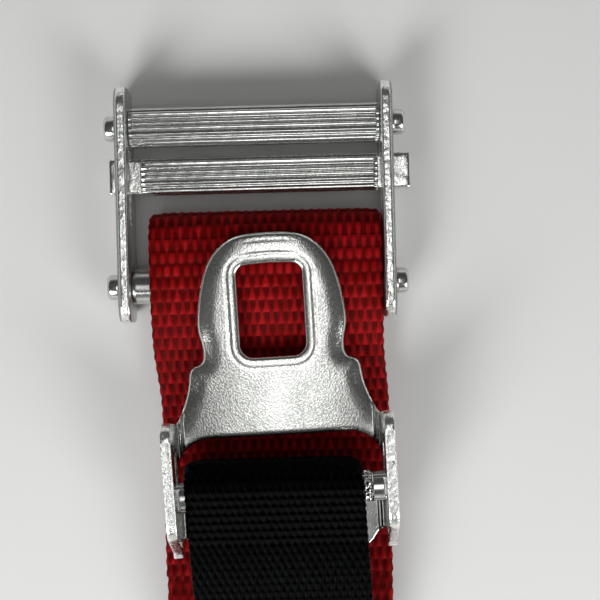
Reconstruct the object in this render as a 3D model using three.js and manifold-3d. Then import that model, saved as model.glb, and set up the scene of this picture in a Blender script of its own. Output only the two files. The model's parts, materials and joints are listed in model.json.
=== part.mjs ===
// End of a racing harness strap, in millimetres, +Z up, resting on a table at Z = 0.
//
// A three-bar adjuster hangs in the sewn loop of a 2 inch red strap. A slotted link tongue with
// its own slide adjuster lies on that strap, on a 1.5 inch black strap that is sewn to the red
// one next to a bolt-in anchor bracket. +Y points along the red strap, from the bracket to the
// adjuster, and +X to the right as seen from above.

import * as THREE from 'three';
import { mergeVertices } from 'three/addons/utils/BufferGeometryUtils.js';
import Module from 'manifold-3d';

const wasm = await Module();
wasm.setup();

const GAP = 0.3;                    // clearance between touching pieces

// Where things lie along Y. The origin is the middle of the object's length.
const ADJUSTER_Y = 83.65;           // axis of the adjuster's loop bar
const BAR_HEIGHT = 8;               // height of the adjuster's bar axes above the table

// Adjuster
const ADJUSTER_X = -0.25;           // its middle seen from above
const PLATE_THICK = 2.5;
const PLATE_INNER = 27.65;          // half the clear width between the plates
const PLATE_HEIGHT = 15.6;
const PLATE_FRONT = 43.8;           // from the loop bar's axis
const PLATE_REAR = -8;
const PLATE_CORNER = 4.6;
const BAR_HALF = PLATE_INNER - GAP; // half the length of the riveted bars' bodies
const FIXED_BAR_Y = 35;
const FIXED_BAR_R = 4.35;
const LOOP_BAR_R = 3.8;
const FLUTES = 20;
const FLUTE_DEPTH = 0.4;
const BAR_CHAMFER = 0.45;
const TENON_R = 2.5;
const RIVET_HOLE_R = 2.8;
const RIVET_HEAD_R = 2.8;
const RIVET_HEAD_H = 3.1;
const LOCK_BAR_X = 0.95;            // it lies towards one side of its slots' play
const LOCK_BAR_Y = 24.2;
const LOCK_BAR_R = 4.2;
const LOCK_BAR_HALF = 26;           // half the length of its fluted body
const TANG_WIDTH = 7.9;
const TANG_THICK = 4;
const TANG_REACH = 33.1;            // half the length of the lock bar over its tangs
const SLOT_REAR = 13.6;
const SLOT_FRONT = 30.4;
const SLOT_HEIGHT = 4.6;

// Red strap
const RED_WIDTH = 50.8;
const RED_THICK = 1.8;
const RED_X = 2.75;                 // its middle seen from above
const RED_LOOP_X = 1.65;            // where the strap lies between the adjuster's plates
const LOOP_R = 5;                   // centre-line radius of the webbing at both loops
const LOOP_CENTRE = 10.5;           // front loop's centre, from the loop bar's axis
const TAIL_END = -65.2;             // cut end of the strap's folded-back front end
const ANCHOR_LOOP_Y = -166;         // rear loop's centre
const ANCHOR_TAIL_END = -110;       // cut end of its folded-back rear end
const SLEW_FROM = -28;              // where it shifts sideways from RED_X to RED_LOOP_X
const SLEW_TO = -12;

// Tongue, in its own frame: origin on the slide bar's axis, +Y to the tip, plate below the bar
const TONGUE_X = 3.9;
const TONGUE_Y = -44.7;
const TONGUE_Z = 16.8;
const TONGUE_YAW = 2;               // degrees
const TONGUE_PITCH = 7.2;           // degrees, its tip up
const TONGUE_THICK = 2.3;
const TONGUE_TOP = -6;              // the plate's upper face
const EAR_INNER = 22.2;
const EAR_TOP = 9;
const EAR_SLOT_REAR = -3.3;
const EAR_SLOT_FRONT = 9.6;
const EAR_SLOT_HEIGHT = 5;
const WINDOW_REAR = -5;
const WINDOW_FRONT = 10.8;
const HOLE_REAR = 28.2;
const HOLE_FRONT = 48.3;
const HOLE_HALF = 7;

// Slide bar
const KNURL_R = 3.5;
const COLLAR_R = 3.2;
const COLLAR_FROM = 19.6;           // half the knurled length
const SLIDE_TENON = 6.3;
const SLIDE_TENON_THICK = 4.6;

// Black strap
const BLACK_WIDTH = 38.1;
const BLACK_THICK = 1.6;
const LIFT_Y = -115;                // where the strap bends when the tongue is lifted
const SEWN_END = -138;
const TAIL_TAB_END = -111;          // folded end of the free tail
const TAIL_TAB_LENGTH = 10;
const TURN_Y = -66;                 // in front of this it runs straight, in line with the tongue
const TURN_X = 3.6;
const TURN_SLOPE = -0.055;
const BEND_R = 5.6;                 // centre-line radius round the slide bar

// Stitching: each seam's rear and front along the strap, and half its width
const THREAD_THICK = 0.6;
const THREAD_WIDTH = 1.4;
const RED_SEAM = [-48.5, -40.5, 17];
const ANCHOR_SEAM = [-135, -118, 16];
const TAIL_SEAM = [-109, -103.5, 16];

// Anchor bracket, in its own frame: origin on its cross bar, the bolt eye towards -Y
const BRACKET_THICK = 3;
const BRACKET_TILT = 5.5;           // degrees, its eye down
const BRACKET_CORNER = 2.5;
const BRACKET_SHOULDER_Y = -15;     // where its sides start to narrow to the eye
const BRACKET_HALF = 30.4;
const CROSS_BAR_HALF = 3;
const BRACKET_SLOT_LENGTH = 8.5;
const BRACKET_SLOT_HALF = 26.2;
const EYE_Y = -32.5;
const EYE_R = 12;
const BOLT_HOLE_R = 5.6;

const rad = THREE.MathUtils.degToRad;

// ---- helpers ----------------------------------------------------------------------------

// A closed geometry with only positions and shared vertices.
function welded(geometry) {
  const bare = geometry.index ? geometry.toNonIndexed() : geometry.clone();
  bare.deleteAttribute('normal');
  bare.deleteAttribute('uv');
  return mergeVertices(bare, 1e-4);
}

function solid(geometry) {
  const source = welded(geometry);
  const vertProperties = new Float32Array(source.attributes.position.array);
  const triVerts = new Uint32Array(source.index.array);
  return new wasm.Manifold(new wasm.Mesh({ numProp: 3, vertProperties, triVerts }));
}

function geometryOf(manifold) {
  const mesh = manifold.getMesh();
  const geometry = new THREE.BufferGeometry();
  geometry.setAttribute('position', new THREE.BufferAttribute(new Float32Array(mesh.vertProperties), 3));
  geometry.setIndex(new THREE.BufferAttribute(new Uint32Array(mesh.triVerts), 1));
  geometry.computeVertexNormals();
  return geometry;
}

// An outline drawn in (y, z), run along X from x0 to x1.
function runAcross(shape, x0, x1, curveSegments = 8) {
  const geometry = new THREE.ExtrudeGeometry(shape, { depth: x1 - x0, bevelEnabled: false, curveSegments });
  const turn = new THREE.Matrix4().makeBasis(
    new THREE.Vector3(0, 1, 0), new THREE.Vector3(0, 0, 1), new THREE.Vector3(1, 0, 0));
  return geometry.applyMatrix4(turn).translate(x0, 0, 0);
}

// An outline drawn in (x, y), run up Z from z0 to z1.
function runUp(shape, z0, z1, curveSegments = 8) {
  const geometry = new THREE.ExtrudeGeometry(shape, { depth: z1 - z0, bevelEnabled: false, curveSegments });
  return geometry.translate(0, 0, z0);
}

// A profile of [radius, x] points turned about the X axis.
function turned(profile, segments = 32) {
  const points = profile.map(([r, x]) => new THREE.Vector2(r, x));
  return new THREE.LatheGeometry(points, segments).rotateZ(-Math.PI / 2);
}

function roundedRectangle(x0, y0, x1, y1, r) {
  const shape = new THREE.Shape();
  shape.moveTo(x0 + r, y0);
  shape.lineTo(x1 - r, y0);
  shape.absarc(x1 - r, y0 + r, r, -Math.PI / 2, 0);
  shape.lineTo(x1, y1 - r);
  shape.absarc(x1 - r, y1 - r, r, 0, Math.PI / 2);
  shape.lineTo(x0 + r, y1);
  shape.absarc(x0 + r, y1 - r, r, Math.PI / 2, Math.PI);
  shape.lineTo(x0, y0 + r);
  shape.absarc(x0 + r, y0 + r, r, Math.PI, 1.5 * Math.PI);
  return shape;
}

function polygon(points) {
  return new THREE.Shape(points.map(([x, y]) => new THREE.Vector2(x, y)));
}

function circle(x, y, r) {
  const path = new THREE.Path();
  path.absarc(x, y, r, 0, 2 * Math.PI);
  return path;
}

function arc(y, z, r, from, to, steps) {
  const points = [];
  for (let i = 0; i <= steps; i += 1) {
    const angle = rad(from + (to - from) * i / steps);
    points.push([y + r * Math.cos(angle), z + r * Math.sin(angle)]);
  }
  return points;
}

// An S-shaped rise between two levels.
function ramp(y0, z0, y1, z1, steps = 6) {
  const points = [];
  for (let i = 0; i <= steps; i += 1) {
    const t = i / steps;
    points.push([y0 + (y1 - y0) * t, z0 + (z1 - z0) * (t * t * (3 - 2 * t))]);
  }
  return points;
}

// The outline of webbing of an even thickness about a centre line.
function webbingOutline(centre, thickness) {
  const left = [];
  const right = [];
  centre.forEach(([y, z], i) => {
    const before = centre[Math.max(i - 1, 0)];
    const after = centre[Math.min(i + 1, centre.length - 1)];
    const length = Math.hypot(after[0] - before[0], after[1] - before[1]);
    const ny = -(after[1] - before[1]) / length * thickness / 2;
    const nz = (after[0] - before[0]) / length * thickness / 2;
    left.push(new THREE.Vector2(y + ny, z + nz));
    right.push(new THREE.Vector2(y - ny, z - nz));
  });
  return new THREE.Shape([...left, ...right.reverse()]);
}

function piece(name, geometry, color, roughness, metalness) {
  const material = new THREE.MeshStandardMaterial({ color, roughness, metalness });
  const mesh = new THREE.Mesh(geometry, material);
  mesh.name = name;
  return mesh;
}

const steel = (name, geometry) => piece(name, geometry, 0xc9ccc6, 0.35, 1);
const redWebbing = (name, geometry) => piece(name, geometry, 0x7d1419, 0.8, 0);
const blackWebbing = (name, geometry) => piece(name, geometry, 0x0b0c0c, 0.8, 0);
const thread = (name, geometry, color) => piece(name, geometry, color, 0.7, 0);

// ---- adjuster ---------------------------------------------------------------------------

function sidePlate(side) {
  const outline = roundedRectangle(
    PLATE_REAR, -BAR_HEIGHT, PLATE_FRONT, PLATE_HEIGHT - BAR_HEIGHT, PLATE_CORNER);
  outline.holes.push(circle(0, 0, RIVET_HOLE_R));
  outline.holes.push(circle(FIXED_BAR_Y, 0, RIVET_HOLE_R));
  outline.holes.push(roundedRectangle(SLOT_REAR, -SLOT_HEIGHT / 2, SLOT_FRONT, SLOT_HEIGHT / 2, 0.8));
  const inner = side * PLATE_INNER;
  const outer = side * (PLATE_INNER + PLATE_THICK);
  return runAcross(outline, Math.min(inner, outer), Math.max(inner, outer));
}

// Half of a riveted bar's profile, from its domed head to its body.
function rivetedEnd(side, bodyR) {
  const plateOuter = PLATE_INNER + PLATE_THICK + GAP;
  const half = [
    [0, plateOuter + RIVET_HEAD_H],
    [RIVET_HEAD_R * 0.6, plateOuter + RIVET_HEAD_H],
    [RIVET_HEAD_R * 0.88, plateOuter + RIVET_HEAD_H * 0.88],
    [RIVET_HEAD_R, plateOuter + RIVET_HEAD_H * 0.62],
    [RIVET_HEAD_R, plateOuter],
    [TENON_R, plateOuter],
    [TENON_R, BAR_HALF],
    [bodyR - BAR_CHAMFER, BAR_HALF],
    [bodyR, BAR_HALF - BAR_CHAMFER],
  ];
  return half.map(([r, x]) => [r, side * x]);
}

function rivetedBarProfile(bodyR) {
  return [...rivetedEnd(-1, bodyR), ...rivetedEnd(1, bodyR).reverse()];
}

function flutedRod(radius, halfLength) {
  const steps = FLUTES * 2;
  const points = [];
  for (let i = 0; i < steps; i += 1) {
    const r = i % 2 ? radius : radius - FLUTE_DEPTH;
    const angle = 2 * Math.PI * i / steps;
    points.push(new THREE.Vector2(r * Math.cos(angle), r * Math.sin(angle)));
  }
  return runAcross(new THREE.Shape(points), -halfLength, halfLength);
}

// A plain round rod along X.
function rod(radius, halfLength) {
  return turned([[0, -halfLength], [radius, -halfLength], [radius, halfLength], [0, halfLength]]);
}

function fixedBar() {
  const envelope = solid(turned(rivetedBarProfile(FIXED_BAR_R)));
  const fluted = solid(flutedRod(FIXED_BAR_R, BAR_HALF));
  const throughPlates = solid(rod(RIVET_HEAD_R + GAP, PLATE_INNER + PLATE_THICK + 2 * RIVET_HEAD_H));
  return geometryOf(fluted.add(throughPlates).intersect(envelope));
}

function loopBar() {
  return turned(rivetedBarProfile(LOOP_BAR_R));
}

function lockBar() {
  const shoulder = LOCK_BAR_R - BAR_CHAMFER;
  const envelope = turned([
    [0, -LOCK_BAR_HALF], [shoulder, -LOCK_BAR_HALF], [LOCK_BAR_R, -LOCK_BAR_HALF + BAR_CHAMFER],
    [LOCK_BAR_R, LOCK_BAR_HALF - BAR_CHAMFER], [shoulder, LOCK_BAR_HALF], [0, LOCK_BAR_HALF]]);
  const body = solid(flutedRod(LOCK_BAR_R, LOCK_BAR_HALF)).intersect(solid(envelope));
  const tang = roundedRectangle(-TANG_WIDTH / 2, -TANG_THICK / 2, TANG_WIDTH / 2, TANG_THICK / 2, 0.4);
  return geometryOf(body.add(solid(runAcross(tang, -TANG_REACH, TANG_REACH))));
}

function adjuster() {
  const group = new THREE.Group();
  group.position.set(ADJUSTER_X, ADJUSTER_Y, BAR_HEIGHT);
  group.add(steel('adjuster_plate_left', sidePlate(-1)));
  group.add(steel('adjuster_plate_right', sidePlate(1)));
  const fixed = steel('fixed_fluted_bar', fixedBar());
  fixed.position.y = FIXED_BAR_Y;
  const lock = steel('sliding_lock_bar', lockBar());
  lock.position.set(LOCK_BAR_X, LOCK_BAR_Y, 0);
  group.add(fixed, lock, steel('loop_bar', loopBar()));
  return group;
}

// ---- red strap --------------------------------------------------------------------------

const RED_LOW = RED_THICK / 2;                  // centre line of the layer on the table
const RED_SECOND = RED_LOW + RED_THICK + GAP;   // centre line of the layer on top of it
const RED_TOP = RED_SECOND + RED_THICK / 2;     // top face of the second layer

function redStrapCentre() {
  const anchorZ = RED_LOW + LOOP_R;
  return [
    [TAIL_END, RED_SECOND],
    ...ramp(-33, RED_SECOND, 1.5, BAR_HEIGHT + LOOP_R, 10),
    ...arc(LOOP_CENTRE, BAR_HEIGHT, LOOP_R, 90, -90, 12),
    ...ramp(-4, BAR_HEIGHT - LOOP_R, -22, RED_LOW),
    ...arc(ANCHOR_LOOP_Y, anchorZ, LOOP_R, 270, 90, 12),
    ...ramp(ANCHOR_LOOP_Y + 4, anchorZ + LOOP_R, ANCHOR_LOOP_Y + 30, RED_SECOND, 8),
    [ANCHOR_TAIL_END, RED_SECOND],
  ];
}

// The middle of the red strap seen from above: it shifts a little where it leaves the adjuster.
function redMiddle(y) {
  return THREE.MathUtils.lerp(RED_X, RED_LOOP_X, THREE.MathUtils.smoothstep(y, SLEW_FROM, SLEW_TO));
}

// Webbing of the given width along a centre line, with its middle at middle(y).
function webbing(centre, width, thickness, middle) {
  const geometry = runAcross(webbingOutline(centre, thickness), -width / 2, width / 2);
  const points = geometry.attributes.position;
  for (let i = 0; i < points.count; i += 1) {
    points.setX(i, points.getX(i) + middle(points.getY(i)));
  }
  geometry.computeVertexNormals();
  return geometry;
}

function redStrap() {
  return redWebbing('red_strap', webbing(redStrapCentre(), RED_WIDTH, RED_THICK, redMiddle));
}

// ---- tongue -----------------------------------------------------------------------------

function tongueOutline() {
  const side = [
    [4.4, 55.05], [7.1, 54.6], [9.6, 53.3], [12.7, 49.9], [14.5, 46], [15.5, 41.5], [16.1, 36.5],
    [15.8, 33.2], [15.25, 31], [15.3, 28.6], [16, 27.3], [17.6, 26.7], [18.7, 24.7], [20, 19.4],
    [22.1, 14.5], [EAR_INNER + TONGUE_THICK, 14.5], [EAR_INNER + TONGUE_THICK, -11],
    [21.2, -11.5], [19.4, -13.9], [17.6, -15.2], [15, -15.6],
  ];
  const right = side.map(([x, y]) => new THREE.Vector2(x, y));
  const left = side.map(([x, y]) => new THREE.Vector2(-x, y)).reverse();
  return new THREE.Shape([...right, ...left]);
}

function earOutline() {
  const foot = TONGUE_TOP - TONGUE_THICK;
  const shape = new THREE.Shape();
  shape.moveTo(-14.7, foot);
  shape.lineTo(14.5, foot);
  shape.lineTo(17.5, EAR_TOP - 4);
  shape.absarc(14.5, EAR_TOP - 3, 3, 0, Math.PI / 2);
  shape.lineTo(-4.7, EAR_TOP);
  shape.lineTo(-11, EAR_TOP - 6);
  shape.holes.push(roundedRectangle(
    EAR_SLOT_REAR, -EAR_SLOT_HEIGHT / 2, EAR_SLOT_FRONT, EAR_SLOT_HEIGHT / 2, 1));
  return shape;
}

function tongueFrame() {
  const foot = TONGUE_TOP - TONGUE_THICK;
  const outline = tongueOutline();
  outline.holes.push(roundedRectangle(-HOLE_HALF, HOLE_REAR, HOLE_HALF, HOLE_FRONT, 2.4));
  outline.holes.push(roundedRectangle(-EAR_INNER + 0.9, WINDOW_REAR, EAR_INNER - 0.9, WINDOW_FRONT, 4));
  const plate = solid(runUp(outline, foot, TONGUE_TOP, 6));
  const right = solid(runAcross(earOutline(), EAR_INNER, EAR_INNER + TONGUE_THICK, 6));
  const left = solid(runAcross(earOutline(), -EAR_INNER - TONGUE_THICK, -EAR_INNER, 6));
  return geometryOf(plate.add(right).add(left));
}

function slideBar() {
  const shoulder = EAR_INNER - GAP;
  const body = solid(turned([
    [0, -shoulder], [COLLAR_R, -shoulder], [COLLAR_R, -COLLAR_FROM], [KNURL_R, -COLLAR_FROM],
    [KNURL_R, COLLAR_FROM], [COLLAR_R, COLLAR_FROM], [COLLAR_R, shoulder], [0, shoulder]], 24));
  const reach = EAR_INNER + TONGUE_THICK - 0.1;
  const tenon = roundedRectangle(
    -SLIDE_TENON / 2 + 0.15, -SLIDE_TENON_THICK / 2, SLIDE_TENON / 2 - 0.15, SLIDE_TENON_THICK / 2, 0.8);
  return geometryOf(body.add(solid(runAcross(tenon, -reach, reach))));
}

function inTongueFrame(...meshes) {
  const group = new THREE.Group();
  group.position.set(TONGUE_X, ADJUSTER_Y + TONGUE_Y, TONGUE_Z);
  group.rotation.set(rad(TONGUE_PITCH), 0, rad(TONGUE_YAW), 'ZXY');
  group.add(...meshes);
  return group;
}

// ---- black strap ------------------------------------------------------------------------

// A point of the tongue's own frame, as seen from the side in the table's frame.
function besideTongue([y, z]) {
  const turn = rad(TONGUE_PITCH);
  return [
    TONGUE_Y + y * Math.cos(turn) - z * Math.sin(turn),
    TONGUE_Z + y * Math.sin(turn) + z * Math.cos(turn)];
}

const BLACK_ON_RED = RED_THICK + GAP + BLACK_THICK / 2;    // on a single layer of red webbing
const BLACK_ON_TWO = RED_TOP + GAP + BLACK_THICK / 2;      // on the folded-back red webbing
const TAIL_REST = BLACK_ON_TWO + GAP + BLACK_THICK;        // the free tail's end, lying on the strap
const TAB_LAYER = TAIL_REST + BLACK_THICK + GAP;           // the tail's end folded over itself

// From the lift line, under the tongue's cross piece, round the slide bar and back as a free tail.
function blackLoopCentre() {
  const foldR = (TAB_LAYER - TAIL_REST) / 2;
  return [
    [LIFT_Y + GAP / 2, BLACK_ON_TWO],
    ...ramp(-108, BLACK_ON_TWO, -101, BLACK_ON_RED, 4),
    ...ramp(-74, BLACK_ON_RED, -67, BLACK_ON_TWO, 4),
    [-62.5, BLACK_ON_TWO],
    besideTongue([-4.6, -9.5]),
    ...arc(0.9, -0.7, BEND_R, -64, 90, 12).map(besideTongue),
    [-52, 21], [-61, 19.7], [-71, 17.2], [-81, 13.7], [-90, 10.2], [-97, 7.9], [-102, TAIL_REST],
    ...arc(TAIL_TAB_END, TAIL_REST + foldR, foldR, 270, 90, 4),
    [TAIL_TAB_END + TAIL_TAB_LENGTH, TAB_LAYER],
  ];
}

// The middle of the black strap seen from above: in line with the red strap where it is sewn to
// it, and slightly turned where it reaches the tongue.
function blackMiddle(y) {
  if (y > TURN_Y) {
    return TURN_X + TURN_SLOPE * (y - TURN_Y);
  }
  const span = TURN_Y - LIFT_Y;
  const t = THREE.MathUtils.clamp((y - LIFT_Y) / span, 0, 1);
  const shift = (TURN_X - RED_X) * t * t * (3 - 2 * t);
  return RED_X + shift + TURN_SLOPE * span * t * t * (t - 1);
}

function blackStrapLoop() {
  const geometry = webbing(blackLoopCentre(), BLACK_WIDTH, BLACK_THICK, blackMiddle);
  return blackWebbing('black_strap_loop', geometry);
}

function blackStrapSewnEnd() {
  const centre = [[LIFT_Y - GAP / 2, BLACK_ON_TWO], [SEWN_END, BLACK_ON_TWO]];
  return blackWebbing('black_strap_sewn_end', webbing(centre, BLACK_WIDTH, BLACK_THICK, () => RED_X));
}

// ---- stitching --------------------------------------------------------------------------

// A sewn rectangle about the origin, with or without a cross, drawn as bands of thread.
function boxSeam(halfWidth, halfLength, crossed) {
  const band = THREAD_WIDTH / 2;
  const outline = polygon([
    [halfWidth + band, halfLength + band], [-halfWidth - band, halfLength + band],
    [-halfWidth - band, -halfLength - band], [halfWidth + band, -halfLength - band]]);
  const x = halfWidth - band;
  const y = halfLength - band;
  if (crossed) {
    const diagonal = Math.hypot(x, y);
    const besideX = band * diagonal / y;
    const besideY = band * diagonal / x;
    for (const side of [-1, 1]) {
      outline.holes.push(polygon([[-x + besideX, side * y], [x - besideX, side * y], [0, side * besideY]]));
      outline.holes.push(polygon([[side * x, -y + besideY], [side * x, y - besideY], [side * besideX, 0]]));
    }
  } else {
    outline.holes.push(polygon([[-x, -y], [x, -y], [x, y], [-x, y]]));
  }
  return runUp(outline, 0, THREAD_THICK);
}

function seam(name, color, x, z, [yRear, yFront, halfWidth], crossed) {
  const mesh = thread(name, boxSeam(halfWidth, (yFront - yRear) / 2, crossed), color);
  mesh.position.set(x, (yRear + yFront) / 2, z + GAP);
  return mesh;
}

function stitching() {
  const onBlack = BLACK_ON_TWO + BLACK_THICK / 2;
  const onTab = TAB_LAYER + BLACK_THICK / 2;
  return [
    seam('red_loop_stitching', 0x5a0f13, RED_X, RED_TOP, RED_SEAM, false),
    seam('anchor_stitching', 0x1a1a1a, RED_X, onBlack, ANCHOR_SEAM, true),
    seam('tail_stitching', 0x1a1a1a, blackMiddle(TAIL_SEAM[0] + 3), onTab, TAIL_SEAM, false),
  ];
}

function straps() {
  const group = new THREE.Group();
  group.position.y = ADJUSTER_Y;
  group.add(redStrap(), blackStrapLoop(), blackStrapSewnEnd(), ...stitching());
  return group;
}

// ---- anchor bracket ---------------------------------------------------------------------

function bracketOutline() {
  const corner = BRACKET_CORNER;
  const shape = new THREE.Shape();
  shape.moveTo(BRACKET_HALF - corner, CROSS_BAR_HALF);
  shape.absarc(BRACKET_HALF - corner, CROSS_BAR_HALF - corner, corner, Math.PI / 2, 0, true);
  shape.lineTo(BRACKET_HALF, BRACKET_SHOULDER_Y);
  shape.absarc(0, EYE_Y, EYE_R, rad(-40), rad(220), true);
  shape.lineTo(-BRACKET_HALF, BRACKET_SHOULDER_Y);
  shape.absarc(-BRACKET_HALF + corner, CROSS_BAR_HALF - corner, corner, Math.PI, Math.PI / 2, true);
  const slotRear = -CROSS_BAR_HALF - BRACKET_SLOT_LENGTH;
  shape.holes.push(roundedRectangle(
    -BRACKET_SLOT_HALF, slotRear, BRACKET_SLOT_HALF, -CROSS_BAR_HALF, 2));
  shape.holes.push(circle(0, EYE_Y, BOLT_HOLE_R));
  return shape;
}

function anchorBracket() {
  const group = new THREE.Group();
  group.position.set(RED_X, ADJUSTER_Y + ANCHOR_LOOP_Y, RED_LOW + LOOP_R);
  group.rotation.x = rad(BRACKET_TILT);
  group.add(steel('anchor_bracket', runUp(bracketOutline(), -BRACKET_THICK / 2, BRACKET_THICK / 2)));
  return group;
}

const object = new THREE.Group();
object.add(adjuster());
object.add(straps());
object.add(inTongueFrame(steel('tongue_frame', tongueFrame()), steel('knurled_slide_bar', slideBar())));
object.add(anchorBracket());

export default object;
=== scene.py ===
import json
import math

import bmesh
import bpy
import numpy as np
from mathutils import Matrix, Vector, noise


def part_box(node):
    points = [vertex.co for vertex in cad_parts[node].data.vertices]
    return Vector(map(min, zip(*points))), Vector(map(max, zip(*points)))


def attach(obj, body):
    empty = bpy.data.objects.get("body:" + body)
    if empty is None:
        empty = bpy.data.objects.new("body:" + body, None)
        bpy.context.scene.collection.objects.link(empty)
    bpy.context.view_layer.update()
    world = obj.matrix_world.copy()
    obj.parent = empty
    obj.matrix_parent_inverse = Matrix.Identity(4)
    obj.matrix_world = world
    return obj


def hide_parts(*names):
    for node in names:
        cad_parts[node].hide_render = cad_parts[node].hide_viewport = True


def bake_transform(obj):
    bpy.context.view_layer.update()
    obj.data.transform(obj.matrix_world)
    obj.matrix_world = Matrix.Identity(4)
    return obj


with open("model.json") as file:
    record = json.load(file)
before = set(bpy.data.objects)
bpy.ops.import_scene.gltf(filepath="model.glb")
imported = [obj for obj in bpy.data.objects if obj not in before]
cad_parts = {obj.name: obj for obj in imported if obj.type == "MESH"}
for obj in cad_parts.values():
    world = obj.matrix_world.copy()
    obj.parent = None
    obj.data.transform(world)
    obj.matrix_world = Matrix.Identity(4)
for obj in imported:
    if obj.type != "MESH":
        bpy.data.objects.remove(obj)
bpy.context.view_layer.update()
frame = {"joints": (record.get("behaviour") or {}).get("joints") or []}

# ---- sizes, in millimetres unless a name says otherwise ----
# Places fore and aft are from the loop bar's axis for the adjuster and the straps, from the slide bar's
# for the tongue, and from the cross bar's middle for the anchor bracket.

MM = 0.001
GAP = 0.3                       # clearance that touching CAD pieces keep

PLATE_THICK = 2.5
PLATE_INNER = 27.65
PLATE_BOX = (-8.0, -8.0, 43.8, 7.6)     # rear, low, front, high, as in the other boxes
PLATE_CORNER = 4.6
FIXED_BAR_Y = 35.0
LOCK_BAR_X = 0.95
LOCK_BAR_Y = 24.2
FIXED_BAR_R = 4.35
LOCK_BAR_R = 4.2
LOOP_BAR_R = 3.8
LOCK_BAR_HALF = 26.0
FLUTES = 20
FLUTE_DEPTH = 0.4
FLUTED_AROUND = FLUTES * 10             # mesh points round a fluted bar
TENON_R = 2.5
RIVET_HOLE_R = 2.6
RIVET_HEAD_R = 2.8
RIVET_HEAD_H = 3.0
RIVET_ROUND_R = 1.0
TANG = (7.9, 4.0, 33.1)                 # width, thickness, half the length over both tangs
SLOT_BOX = (13.6, -2.3, 30.4, 2.3)
SLOT_CORNER = 0.8

RED_WIDTH = 50.8
RED_THICK = 1.8
RED_X = 2.75
RED_LOOP_X = 1.65
LOOP_R = 5.0
LOOP_CENTRE = 10.5
TAIL_END = -65.2
ANCHOR_LOOP_Y = -166.0
ANCHOR_TAIL_END = -110.0
SLEW_FROM = -28.0                       # the red strap slews from RED_X to RED_LOOP_X between these
SLEW_TO = -12.0

TONGUE_THICK = 2.3
TONGUE_TOP = -6.0
TONGUE_FOOT = TONGUE_TOP - TONGUE_THICK
EAR_INNER = 22.2
EAR_OUTER = EAR_INNER + TONGUE_THICK
EAR_TOP = 9.0
EAR_REAR = -11.0
EAR_FRONT = 14.5
EAR_SLOT_BOX = (-3.3, -2.5, 9.6, 2.5)
EAR_SLOT_CORNER = 1.2
BEND_OUTER_R = 2.6
BEND_INNER_R = 1.3
WINDOW_REAR = -5.0
WINDOW_FRONT = 10.8
WINDOW_CORNER = (7.5, 6.2)
HOLE_REAR = 28.2
HOLE_FRONT = 48.3
HOLE_HALF = 7.0
HOLE_REAR_R = 2.7
HOLE_FRONT_R = 2.1
HOLE_BULGE = 0.25

KNURL_R = 3.5
COLLAR_R = 3.2
COLLAR_FROM = 19.6
KNURLS = 14                             # grooves of each hand round the bar
KNURL_PITCH = 1.7
KNURL_DEPTH = 0.42
SLIDE_TENON = (6.0, 4.6)                # width and thickness

BLACK_WIDTH = 38.1
BLACK_THICK = 1.6
BLACK_FOLD_CENTRE = (0.9, -0.7)         # in the tongue's own frame, seen from the side
BLACK_FOLD_R = 5.6
TURN_Y = -66.0                          # the black strap runs straight in front of this
TURN_X = 3.6
TURN_SLOPE = -0.055
LIFT_Y = -115.0
SEWN_END = -138.0
TAIL_TAB_END = -111.0
TAIL_TAB_LENGTH = 10.0

THREAD_R = 0.27
STITCH_SIDES = 8
STITCH_PITCH = 2.6
STITCH_GAP = 0.45
STITCH_DIP = 0.35                       # how far a stitch's ends lie under the webbing
SEAM_SINK = 0.1                         # how far the threads are pulled into the webbing
SEAM_ROWS_APART = 1.3
RED_SEAM = (17.0, -48.5, -40.5)         # half width, rear, front
ANCHOR_SEAM = (16.0, -135.0, -118.0)
TAIL_SEAM = (16.0, -109.0, -103.5)

BRACKET_THICK = 3.0
BRACKET_HALF = 30.4
CROSS_BAR_HALF = 3.0
BRACKET_SLOT_LENGTH = 8.5
BRACKET_SLOT_HALF = 26.2
BRACKET_TILT = math.radians(5.5)
BRACKET_CORNER = 2.5
BRACKET_SHOULDER_Y = -15.0
BRACKET_SHOULDER_R = 4.0
EYE_Y = -32.5
EYE_R = 12.0
BOLT_HOLE_R = 5.6

JOINTS = {j["name"]: j for j in frame["joints"]}


def centre_of(node):
    low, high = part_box(node)
    return (low + high) / 2


# ---- frames of the moving pieces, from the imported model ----

LOOP_BAR_AXIS = Vector(JOINTS["adjuster_swing"]["pos_m"])
ADJUSTER_Y = LOOP_BAR_AXIS.y / MM
BAR_HEIGHT = LOOP_BAR_AXIS.z / MM


def placed(origin, forward):
    """A frame at origin whose Y runs forward and whose X is level."""
    y = Vector(forward).normalized()
    x = y.cross(Vector((0, 0, 1))).normalized()
    turn = Matrix((x, y, x.cross(y))).transposed()
    return Matrix.Translation(origin) @ turn.to_4x4()


ADJUSTER_FRAME = Matrix.Translation(LOOP_BAR_AXIS)      # the joint lies on the frame's own middle
FROM_LOOP_BAR = Matrix.Translation((0, LOOP_BAR_AXIS.y, 0))
TONGUE_FORWARD = -Vector(JOINTS["tongue_travel"]["axis"])
TONGUE_FRAME = placed(centre_of("knurled_slide_bar"), TONGUE_FORWARD)
TONGUE_PITCH = math.asin(TONGUE_FORWARD.normalized().z)
BRACKET_PIVOT = Vector(JOINTS["anchor_swing"]["pos_m"])
BRACKET_FRAME = placed(BRACKET_PIVOT, (0, math.cos(BRACKET_TILT), math.sin(BRACKET_TILT)))


# ---- camera, floor and light ----

CAMERA_HEIGHT = 0.310
CAMERA_LENS_MM = 81.97
CAMERA_ROLL = math.radians(-1.5)
CAMERA_BESIDE = (8.86, -3.83)           # from the loop bar's middle
FLOOR_HALF = 3.0

# Each light's place from the loop bar's axis on the floor and its size, in metres, and its power in watts.
KEY_LIGHT = ((-0.34, -0.52, 0.46), 0.34, 3.7)
FILL_LIGHT = ((0.38, -0.46, 0.42), 0.32, 2.3)

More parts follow.
